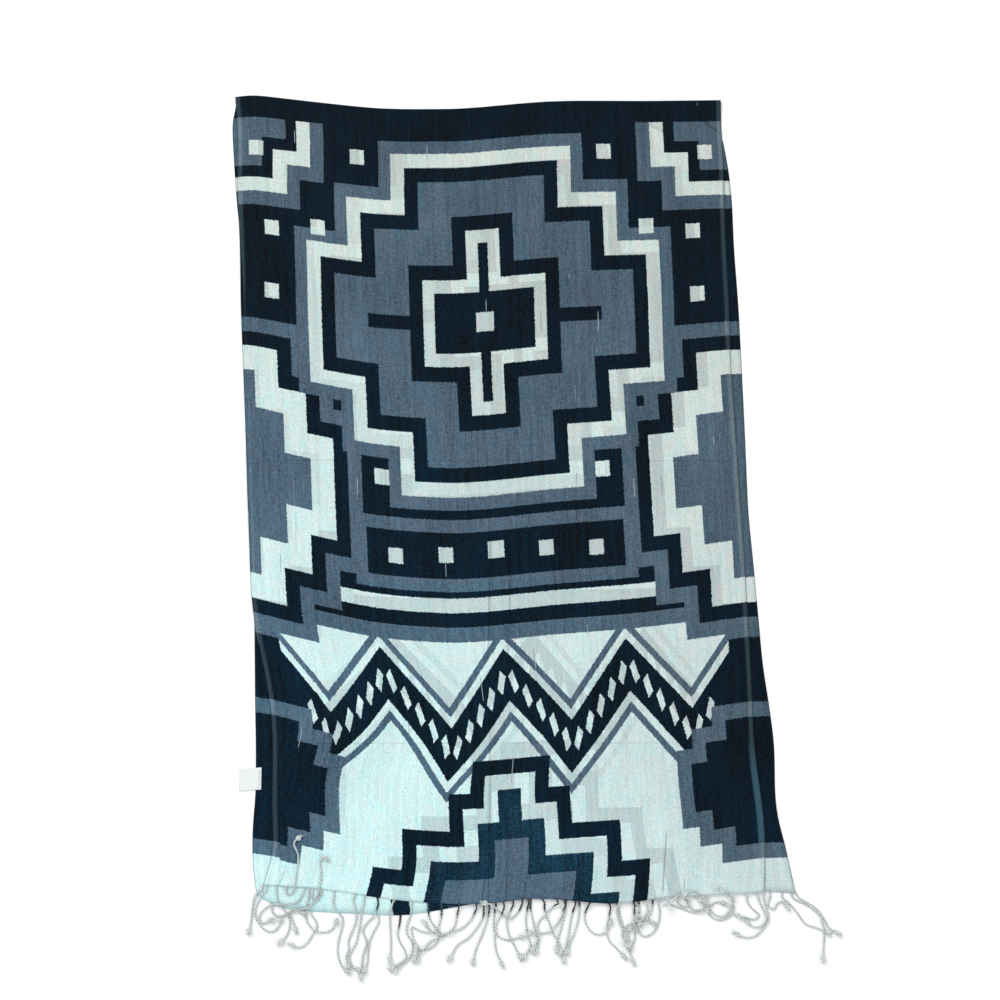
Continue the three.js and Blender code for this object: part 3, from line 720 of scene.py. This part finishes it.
# The print, in millimetres on the flat cloth. A tone runs from the dark ink over slate to the pale one.
DARK, NAVY, SLATE, PALE = 0.0, 0.07, 0.5, 1.0
BAND = 17.0  # width of the stripes and outlines
EDGE_SOFT = 0.7  # over which one tone runs into the next
FOLD_BAND = 26.0  # the dark stripe down from the fold
PALE_GROUND = 592.0  # where the dark ground ends and the pale one begins
ZIGZAG = {
    "middle": 702.0,  # down from the fold
    "run": 76.25,  # across from a peak to the next trough
    "swing": 44.0,  # how far the peaks lie from the middle
    "half": 30.0,  # half width of the dark band
    "lines": 48.0,  # from the middle of the band to the slate lines
    "lozenges": 15.25,  # from one lozenge to the next
    "lozenge_half": 14.0,
    "lozenge_steep": 2.4,
}
ZIGZAG_REACH = 17 * ZIGZAG["lozenges"]  # how far from the middle the lozenges go
SIDE_BAND = {"wide": 26.0, "repeat": 62.0, "slate": 24.0, "foot": 893.0}
# Stepped shapes in the order in which they are painted: each lies about the middle or about both selvedges.
# Boxes are (half across, half down), and rings are (how far outside the boxes, tone).
MEDALLIONS = (
    # lies about, down from the fold, boxes, rings
    ("selvedge", 806, ((64, 10), (44, 32), (18, 54)), ((34, SLATE), (17, DARK))),
    (
        "middle",
        CLOTH_LONG / 2,
        ((132, 28), (98, 74), (40, 116), (14, 152)),
        ((34, DARK), (17, PALE), (0, NAVY), (-20, SLATE)),
    ),
    ("selvedge", 34, ((74, 30), (44, 66)), ((34, SLATE), (17, PALE), (0, DARK), (-14, SLATE))),
    ("selvedge", 455, ((92, 42), (60, 88), (26, 132)), ((51, SLATE), (34, DARK), (17, PALE), (-12, SLATE))),
    (
        "middle",
        252,
        ((170, 32), (118, 90), (62, 146)),
        ((66, SLATE), (51, PALE), (34, DARK), (17, SLATE), (-24, DARK), (-41, PALE), (-56, DARK)),
    ),
    ("middle", 517, ((146, 14),), ((28, SLATE), (13, DARK))),
)
# Small pale squares: across from the middle, down from the fold, half size.
SQUARES = (
    *((0, 252, 11), (155, 62, 9), (206, 152, 9), (264, 160, 9), (266, 236, 9)),
    *((282, 64, 9), (137, 430, 9), (0, 512, 10), (62, 516, 9), (124, 520, 9)),
)


def stepped(across, down, boxes):
    """How far a point lies outside a shape made of crossing boxes."""
    reach = None
    for half_across, half_down in boxes:
        box = (across - half_across).most(down - half_down)
        reach = box if reach is None else reach.least(box)
    return reach


def print_group():
    """A node group that gives the print's tone at a place on the flat cloth, in metres."""
    tree = bpy.data.node_groups.new("print", "ShaderNodeTree")
    tree.interface.new_socket("Place", in_out="INPUT", socket_type="NodeSocketVector")
    tree.interface.new_socket("Tone", in_out="OUTPUT", socket_type="NodeSocketFloat")
    start = node(tree, "NodeGroupInput")
    x, y = split(tree, start.outputs[0])
    across = x / MM
    down = abs(y / MM)
    middle = abs(across - CLOTH_WIDE / 2)
    side = CLOTH_WIDE / 2 - middle

    tone = down.below(PALE_GROUND, EDGE_SOFT) * (DARK - PALE) + PALE
    tone = painted_stripes(tone, down)
    tone = painted_zigzag(tone, across, down)
    tone = painted_side_band(tone, side, down)
    for about, shape_down, boxes, rings in MEDALLIONS:
        reach = stepped(middle if about == "middle" else side, abs(down - shape_down), boxes)
        for limit, ring_tone in rings:
            tone = tone.painted(reach.below(limit, EDGE_SOFT), ring_tone)
    for square_across, square_down, half in SQUARES:
        square = abs(middle - square_across).most(abs(down - square_down))
        tone = tone.painted(square.below(half, EDGE_SOFT), PALE)
    tone = tone.painted(down.below(FOLD_BAND, EDGE_SOFT), DARK)

    node(tree, "NodeGroupOutput", {0: tone})
    return tree


def painted_stripes(tone, down):
    """A pale, a dark and a slate stripe where the ground changes."""
    for k, stripe_tone in enumerate((PALE, DARK, SLATE)):
        centre = PALE_GROUND + (k - 1) * BAND
        tone = tone.painted(abs(down - centre).below(BAND / 2, EDGE_SOFT), stripe_tone)
    return tone


def painted_zigzag(tone, across, down):
    """A dark zigzag with pale lozenges, between two slate lines."""
    run, swing, spacing = ZIGZAG["run"], ZIGZAG["swing"], ZIGZAG["lozenges"]
    from_middle = across - CLOTH_WIDE / 2
    wave = (from_middle + run).zigzag(run) * (2 * swing / run)
    level = abs(down - ZIGZAG["middle"] + wave - swing)
    tone = tone.painted(abs(level - ZIGZAG["lines"]).below(BAND / 3, EDGE_SOFT), SLATE)
    tone = tone.painted(level.below(ZIGZAG["half"], EDGE_SOFT), DARK)
    lozenge = abs(from_middle.zigzag(spacing) - spacing / 2) * ZIGZAG["lozenge_steep"] + level
    inside = abs(from_middle).below(ZIGZAG_REACH, EDGE_SOFT)
    return tone.painted(lozenge.below(ZIGZAG["lozenge_half"], EDGE_SOFT) * inside, PALE)


def painted_side_band(tone, side, down):
    """A dark band with slate blocks along both selvedges, below the stripes."""
    along = down.below(SIDE_BAND["foot"], EDGE_SOFT) - down.below(PALE_GROUND + BAND, EDGE_SOFT)
    on_band = side.below(SIDE_BAND["wide"], EDGE_SOFT) * along
    slate = down.zigzag(SIDE_BAND["repeat"]).below(SIDE_BAND["slate"], EDGE_SOFT)
    return tone.painted(on_band, slate * SLATE)


# Each ink as it shows near the fold, at the left of the hem and at the right of it.
INKS = {
    DARK: (srgb(0, 14, 25), srgb(0, 24, 38), srgb(0, 16, 28)),
    SLATE: (srgb(64, 83, 96), srgb(72, 99, 118), srgb(70, 89, 102)),
    PALE: (srgb(187, 196, 189), srgb(200, 231, 232), srgb(190, 206, 205)),
}
NAVY_INK = srgb(8, 42, 59)
NAVY_REACH = 0.05  # how far a tone may be off the navy one and still take some of its ink
HEM_TURN = (0.3, 1.5)  # share across from which the hem's inks turn to those of its right, and how fast


def ink_colour(tree, tone, across, down):
    """The colour of a tone, which shifts a little from the fold to the hem and from left to right."""
    towards_hem = (down / (CLOTH_LONG / 2 * MM)).clamped()
    towards_right = ((across / (CLOTH_WIDE * MM) - HEM_TURN[0]) * HEM_TURN[1]).clamped()
    inks = []
    for key in (DARK, SLATE, PALE):
        near_fold, hem_left, hem_right = INKS[key]
        near_hem = mixed(tree, towards_right, hem_left, hem_right)
        inks.append(mixed(tree, towards_hem, near_fold, near_hem))
    to_slate = (tone * 2.0).clamped()
    to_pale = (tone * 2.0 - 1.0).clamped()
    to_navy = abs(tone - NAVY).fused(-1 / NAVY_REACH, 1.0, clamp=True)
    colour = mixed(tree, to_pale, mixed(tree, to_slate, inks[0], inks[1]), inks[2])
    return mixed(tree, to_navy, colour, NAVY_INK)


def uv(tree, name):
    return node(tree, "ShaderNodeUVMap", uv_map=name).outputs[0]


WOBBLE = 0.8 * MM  # how far the edges of the print stray, from thread to thread
WOBBLE_GRAIN = 2.0  # in millimetres


def wobbled(tree, x, y):
    """A place of the flat cloth, moved a little, so that the edges of the print are uneven."""
    aside = noise(tree, x, y, WOBBLE_GRAIN, WOBBLE_GRAIN, 0.0) * WOBBLE
    along = noise(tree, x + 0.31, y, WOBBLE_GRAIN, WOBBLE_GRAIN, 0.0) * WOBBLE
    return joined(tree, x + aside, y + along)


def tone_at(tree, group, place):
    return Term(tree, node(tree, "ShaderNodeGroup", {0: place}, node_tree=group).outputs[0])


SPECULAR = 0.12
SHEEN_ROUGHNESS = 0.5


def new_material(name, roughness, sheen):
    material = bpy.data.materials.new(name)
    material.use_nodes = True
    tree = material.node_tree
    shader = tree.nodes["Principled BSDF"]
    feed(tree, shader, {"Roughness": roughness, "Specular IOR Level": SPECULAR})
    feed(tree, shader, {"Sheen Weight": sheen, "Sheen Roughness": SHEEN_ROUGHNESS})
    return material, tree, shader


WARM_TINT = (1.07, 0.985, 0.99, 1.0)  # the two hues between which the dye shifts from place to place
COOL_TINT = (0.92, 1.015, 1.02, 1.0)
THREAD_PITCH = 0.56 * MM  # from one thread of the weave to the next
WEAVE_DEEP = 0.06  # height of the bump, in millimetres
STREAK_DEEP = 0.055
GHOST_DARKEN = 0.26  # how much a dark place of the under leaf shows through pale cloth
GHOST_COLOUR = srgb(104, 98, 106)
LOOSE_ON_INK = srgb(176, 188, 196)  # a loose thread shows light on the inks and dark on pale cloth
LOOSE_ON_PALE = srgb(70, 84, 96)
LOOSE_SHARE = 0.75


def weave_height(x, y):
    """A plain weave: warp and weft pass over and under each other in turn."""
    warp, weft = (place * (math.pi / THREAD_PITCH) for place in (x, y))
    over = warp.sine() * weft.sine()
    return abs(over) * 0.6 + over * 0.4


FLOAT_CELL = (34 * MM, 96 * MM)  # a loose float may lie in each cell of this size
FLOAT_SHARE = 0.16  # share of the cells that have one
FLOAT_REACH = 14 * MM  # greatest half length
FLOAT_FADE = 4 * MM


def floats(tree, x, y):
    """1 on the few short loose floats of warp that lie along the cloth."""
    cell_x, cell_y = FLOAT_CELL
    inputs = {"Vector": joined(tree, x / cell_x, y / cell_y), "Scale": 1.0}
    cells = node(tree, "ShaderNodeTexVoronoi", inputs, voronoi_dimensions="2D")
    centre_x, centre_y = split(tree, cells.outputs["Position"])
    chosen, length = split(tree, cells.outputs["Color"])
    near = abs(x - centre_x * cell_x).below(0.35 * MM, 0.2 * MM)
    within = (abs(y - centre_y * cell_y) - length * FLOAT_REACH).below(0.0, FLOAT_FADE)
    return near * within * chosen.below(FLOAT_SHARE, 0.01)


MISSING_WARP = {"across": 58 * MM, "down": 492 * MM, "half_long": 44 * MM, "fade": 30 * MM, "share": 0.45}


def missing_warp(x, y):
    """How far the one line shows where a warp thread is missing, near the left selvedge."""
    along = (abs(y - MISSING_WARP["down"]) - MISSING_WARP["half_long"]).below(0.0, MISSING_WARP["fade"])
    return abs(x - MISSING_WARP["across"]).below(0.3 * MM, 0.3 * MM) * along * MISSING_WARP["share"]


# Painted shade along the sharp press lines of the cloth as it lies, in millimetres: from, to, half width,
# depth (how strong the shade is).
CREASE_SHADE_LINES = (
    ((-11, -40), (-14, -190), 1.6, 1.0),
    ((-11, -262), (-13, -462), 1.6, 0.8),
    ((13, -50), (9, -192), 1.2, 0.8),
    ((9, -378), (7, -462), 1.4, 0.9),
    ((-15, -412), (-21, -464), 1.6, 1.0),
    ((190, -376), (184, -452), 1.6, 1.0),
    ((148, 459), (184, 457), 1.8, 0.9),
    ((232, 486), (241, 462), 1.6, 0.8),
    ((240, 464), (267, 442), 1.8, 1.0),
    ((232, -357), (242, -326), 1.6, 0.9),
    ((274, -266), (277, -292), 1.6, 1.0),
    ((-232, -281), (232, -280), 1.2, 0.35),
    ((-272, 47), (283, 46), 1.2, 0.4),
    ((298, -278), (309, -308), 1.8, 1.0),
    ((283, -280), (285, -348), 2.2, 0.8),
)
PRESS_FADE = 9.0  # length over which a line dies out at its ends
PRESS_SHADE = 0.46  # how much painted shade darkens the cloth in a line of full depth


def cloth_material(group):
    material, tree, shader = new_material("printed_cotton", roughness=0.9, sheen=0.04)
    x, y = split(tree, uv(tree, "print"))
    tone = tone_at(tree, group, wobbled(tree, x, y))
    colour = ink_colour(tree, tone, x, y)

    below = uv(tree, "below")
    below_x, _ = split(tree, below)
    under_there = 1.0 - below_x.below(0.0, 0.002)
    ghost = under_there * (1.0 - tone_at(tree, group, below)) * tone * GHOST_DARKEN
    colour = mixed(tree, ghost, colour, GHOST_COLOUR)

    # Uneven yarn and dye: each noise has its grain across and down in millimetres, and its detail.
    warp_streak = noise(tree, x, y, 1.7, 26, 1.0)
    warp_wide = noise(tree, x + 0.7, y, 6, 160, 0.0)
    weft_streak = noise(tree, x, y + 0.4, 9, 1.5, 1.0)
    mottle = noise(tree, x, y, 3.2, 4.2, 1.0)
    cloudy = noise(tree, x, y, 60, 90, 0.0)
    speckle = noise(tree, x + 0.2, y, 1.0, 1.1, 0.0)
    # The change is greatest on the dark ink, 1.15, and falls to 0.45 on slate and 0.16 on pale.
    unevenness = 1.15 - tone * 1.81 + tone * tone * 0.82
    streaks = warp_streak * 0.75 + warp_wide * 0.4 + weft_streak * 0.5
    specks = speckle * 1.2 + (speckle.most(0.3) - 0.3) * 3.0
    change = (streaks + mottle * 0.7 + specks + cloudy * 0.4) * unevenness
    hue = (noise(tree, x, y + 0.9, 13, 17, 1.0) + mottle * 0.4 + 0.5).clamped()
    colour = mixed(tree, 1.0, colour, mixed(tree, hue, WARM_TINT, COOL_TINT), "MULTIPLY")
    colour = scaled(tree, colour, change + 1.0)

    loose = floats(tree, x, y).most(missing_warp(x, y))
    loose_colour = mixed(tree, tone.below(0.7, 0.1), LOOSE_ON_PALE, LOOSE_ON_INK)
    colour = mixed(tree, loose * LOOSE_SHARE, colour, loose_colour)
    colour = selvedge_colour(tree, colour, tone, under_there, speckle, x, y)
    # painted shade: the cloth's colour is darkened along its press lines
    colour = scaled(tree, colour, 1.0 - painted_crease_shade(tree) * PRESS_SHADE)
    height = weave_height(x, y) * WEAVE_DEEP + warp_streak * STREAK_DEEP
    finish(tree, shader, colour, height, strength=0.5)
    return material


def painted_crease_shade(tree):
    """How strong the painted shade of the sharp press lines is at a place of the lying cloth, from 0 to 1.
    """
    x, y = split(tree, uv(tree, "lying"))
    x, y = x / MM, y / MM
    strongest_shade = None
    for (x0, y0), end, wide, depth in CREASE_SHADE_LINES:
        length, ux, uy = direction((x0, y0), end)
        run = y.fused(uy, x.fused(ux, -x0 * ux - y0 * uy))
        away = abs(y.fused(-ux, x.fused(uy, y0 * ux - x0 * uy)))
        ends = run.least(length - run).fused(depth / PRESS_FADE, 0.0, clamp=True)
        line = away.fused(-1 / wide, 1.0, clamp=True) * ends.least(depth)
        strongest_shade = line if strongest_shade is None else strongest_shade.most(line)
    return strongest_shade


def scaled(tree, colour, amount):
    inputs = {0: colour, "Scale": amount}
    return node(tree, "ShaderNodeVectorMath", inputs, operation="SCALE").outputs[0]


def finish(tree, shader, colour, height, strength):
    """Gives a shader its colour, and a bump whose height is in millimetres."""
    bump = node(tree, "ShaderNodeBump", {"Strength": strength, "Distance": MM, "Height": height})
    feed(tree, shader, {"Base Color": colour, "Normal": bump.outputs[0]})


WORN_WIDE = 5.6 * MM  # the edges' worn stretch, where less ink shows
WORN_SHARE = 0.26
WORN_DARK = srgb(84, 106, 116)
WORN_PALE = srgb(190, 204, 206)
TEAL_TOP = 780 * MM  # the teal band on the upper leaf's right side, down from the fold
TEAL_WIDE = 8.0 * MM
TEAL = srgb(56, 92, 108)
# The painted shadow line along the cloth's very edge: its width, and how much darker it makes the cloth.
EDGE_SHADOW_WIDE = 0.8 * MM
EDGE_SHADE = 0.5


def selvedge_colour(tree, colour, tone, on_top, grain, x, y):
    """The woven edges: thinner ink towards the edge, a painted shadow line along it and a teal band near the
    hem.
    """
    from_right = CLOTH_WIDE * MM - x
    edge = x.least(from_right)
    thin = edge.below(WORN_WIDE, 2.4 * MM) * (grain * 1.1 + 1.0) * (1.0 - tone) * on_top * WORN_SHARE
    worn = mixed(tree, (tone * 2.0).clamped(), WORN_DARK, WORN_PALE)
    colour = mixed(tree, thin.clamped(), colour, worn)
    near_hem = 1.0 - y.below(TEAL_TOP, 50 * MM)
    band = from_right.below(TEAL_WIDE, 1.6 * MM) * (grain * 0.9 + 0.7) * on_top * near_hem
    colour = mixed(tree, (band * tone.below(0.2, 0.1)).clamped(), colour, TEAL)
    # painted shadow: the cloth is darkened along its very edge
    return scaled(tree, colour, 1.0 - edge.below(EDGE_SHADOW_WIDE, 0.5 * MM) * EDGE_SHADE)


GROOVE_SHADE = 0.62  # how much darker a strand is in the grooves between its plies
CORD_DULL = srgb(208, 218, 217)
CORD_LIGHT = srgb(243, 249, 248)
DYE_LONG = (9.0, 12.0)  # how far the hem's ink runs up a strand, at least, and how much further


def cord_material(group):
    material, tree, shader = new_material("twisted_cord", roughness=0.9, sheen=0.2)
    from_hem, depth = split(tree, uv(tree, "strand"))
    place = uv(tree, "print")
    root_across, root_down = split(tree, place)
    root_tone = tone_at(tree, group, place)
    dyed = ink_colour(tree, root_tone * 0.2, root_across, root_down)
    grain = solid_noise(tree, 700.0, 3.0)
    patchy = solid_noise(tree, 45.0)
    plain = mixed(tree, patchy, CORD_DULL, CORD_LIGHT)
    dye_end = (patchy * DYE_LONG[1] + DYE_LONG[0]) * MM
    soaked = (grain * 3.0 - 0.6).clamped() * 0.3 + 0.7
    dye = (from_hem - dye_end).below(0.0, 4.0 * MM) * root_tone.below(0.8, 0.1) * soaked
    shade = 1.0 - (depth / MM) * GROOVE_SHADE
    colour = scaled(tree, mixed(tree, dye, plain, dyed), (grain * 0.4 + 0.8) * shade)
    finish(tree, shader, colour, grain * 0.25, strength=0.6)
    return material


TAPE_RIB = 0.25 * MM


def label_material():
    material, tree, shader = new_material("satin_tape", roughness=0.42, sheen=0.1)
    x, y = split(tree, uv(tree, "print"))
    rib = (y / TAPE_RIB).zigzag(1.0)
    thread = noise(tree, x, y, 3, 0.3)
    tape = mixed(tree, 0.5, srgb(220, 227, 226), srgb(230, 235, 234))
    # painted shade: the tape is a little darker in the troughs of its ribs, where its bump is lower
    colour = scaled(tree, tape, rib * 0.05 + thread * 0.03 + 0.96)
    finish(tree, shader, colour, rib * 0.05 + thread * 0.04, strength=0.5)
    return material


# ---- The label ----

LABEL_STEPS = 24
LABEL_THICK = 0.25
LABEL_ASKEW = 1.8  # how much further up the page its right side lies than its left
LABEL_REST = 0.35  # its height over what it lies on
LABEL_CURL = 0.9  # how much its free corners stand up
LABEL_STEP = (-284, -277)  # where it rises from the floor onto the cloth
STITCHES = 7
STITCH_AT = (-275.5, 1.15)  # the row's x, and the height at which its stitches start
STITCH_SIZE = (2.4, 0.35, 0.2)  # length, how high its middle arches, and radius
STITCH_INSET = 2.0  # from the label's head and foot to the row
STITCH_STEPS = 7


def make_label(material, thread_material):
    across, up = np.meshgrid(np.linspace(0, 1, LABEL_STEPS), np.linspace(0, 1, LABEL_STEPS))
    x = LABEL_LEFT + across * (LABEL_RIGHT - LABEL_LEFT)
    y = LABEL_FOOT + up * (LABEL_HEAD - LABEL_FOOT) + (across - 0.5) * LABEL_ASKEW
    on_cloth = smoothstep(*LABEL_STEP, x)
    curl = LABEL_CURL * (1 - across) ** 2 * (0.4 + 0.6 * np.abs(2 * up - 1) ** 2)
    z = LABEL_REST + on_cloth * (UNDER_REST + LABEL_REST) + curl
    z += 0.25 * np.sin(across * 5 + up * 2) * (1 - on_cloth)
    points, faces = closed_sheet(np.stack([x, y, z], -1), LABEL_THICK)
    piece = mesh_piece("side_tag", points, faces, material)
    write_uv(piece, "print", np.tile(np.stack([x, y], -1).reshape(-1, 2), (2, 1)) * MM)
    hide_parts("care_label")
    add_stitches(thread_material)
    return piece


def add_stitches(material):
    """A short row of stitches that holds the tag on the selvedge."""
    yarn = Yarn()
    run = np.linspace(0, 1, STITCH_STEPS)
    x = np.full(STITCH_STEPS, STITCH_AT[0])
    long, arch, radius = STITCH_SIZE
    row_long = LABEL_HEAD - LABEL_FOOT - 2 * STITCH_INSET
    for k in range(STITCHES):
        middle = LABEL_FOOT + STITCH_INSET + row_long * (k + 0.5) / STITCHES
        line = np.stack([x, middle + (run - 0.5) * long, STITCH_AT[1] + arch * np.sin(math.pi * run)], -1)
        yarn.tube(line, radius, 5, run, (0.0, 0.0))
    yarn.piece("tag_stitches", material)


# ---- The stage ----

CAMERA_AWAY = 1625.0  # from the middle of the view
CAMERA_TILT = 6.3  # degrees off straight down
LENS = 50.0
SENSOR = 36.0
FLOOR_REACH = 6.0  # metres
FLOOR_TONES = ((0.93, 0.93, 0.93, 1), (0.95, 0.95, 0.95, 1))
SKY_COLOUR = (0.97, 0.99, 1.0, 1)
SKY_POWER = 0.66
LIGHTS = (
    # name, place in metres, size, power
    ("key", (-1.5, 1.6, 2.4), 1.6, 60),
    ("fill", (1.8, -0.9, 2.2), 2.0, 20),
)


def make_camera():
    tilt = math.radians(CAMERA_TILT)
    data = bpy.data.cameras.new("camera")
    data.lens = LENS
    data.sensor_width = SENSOR
    camera = placed("camera", data)
    camera.location = to_frame([0, -CAMERA_AWAY * math.sin(tilt), CAMERA_AWAY * math.cos(tilt)])
    camera.rotation_euler = (tilt, 0, 0)
    bpy.context.scene.camera = camera


def make_floor():
    material, tree, shader = new_material("pale_floor", roughness=0.95, sheen=0.0)
    feed(tree, shader, {"Base Color": mixed(tree, solid_noise(tree, 3.0), *FLOOR_TONES)})
    mesh = bpy.data.meshes.new("floor")
    corners = [(x * FLOOR_REACH, y * FLOOR_REACH, 0) for x, y in ((-1, -1), (1, -1), (1, 1), (-1, 1))]
    mesh.from_pydata(corners, [], [(0, 1, 2, 3)])
    mesh.materials.append(material)
    floor = placed("floor", mesh)


def add_light(name, place, size, power):
    """A square light that shines at the middle of the part."""
    data = bpy.data.lights.new(name, "AREA")
    data.size = size
    data.energy = power
    light = placed(name, data)
    light.location = place
    x, y, z = place
    light.rotation_euler = (math.atan2(math.hypot(x, y), z), 0, math.atan2(-x, y) + math.pi)


def make_lights():
    world = bpy.data.worlds.new("world")
    world.use_nodes = True
    sky = world.node_tree.nodes["Background"]
    feed(world.node_tree, sky, {"Color": SKY_COLOUR, "Strength": SKY_POWER})
    bpy.context.scene.world = world
    for light in LIGHTS:
        add_light(*light)
    bpy.context.scene.view_settings.view_transform = "Standard"


make_camera()
make_lights()
make_floor()

print_tones = print_group()
cloth_finish = cloth_material(print_tones)
cord_finish = cord_material(print_tones)

cloth, hems, ground = make_cloth(cloth_finish)
strands_under = make_fringe("fringe_under", *hems["fringe_under"], ground, cord_finish, seed=11)
strands_upper = make_fringe("fringe_upper", *hems["fringe_upper"], ground, cord_finish, seed=12)
tag = make_label(label_material(), cord_finish)
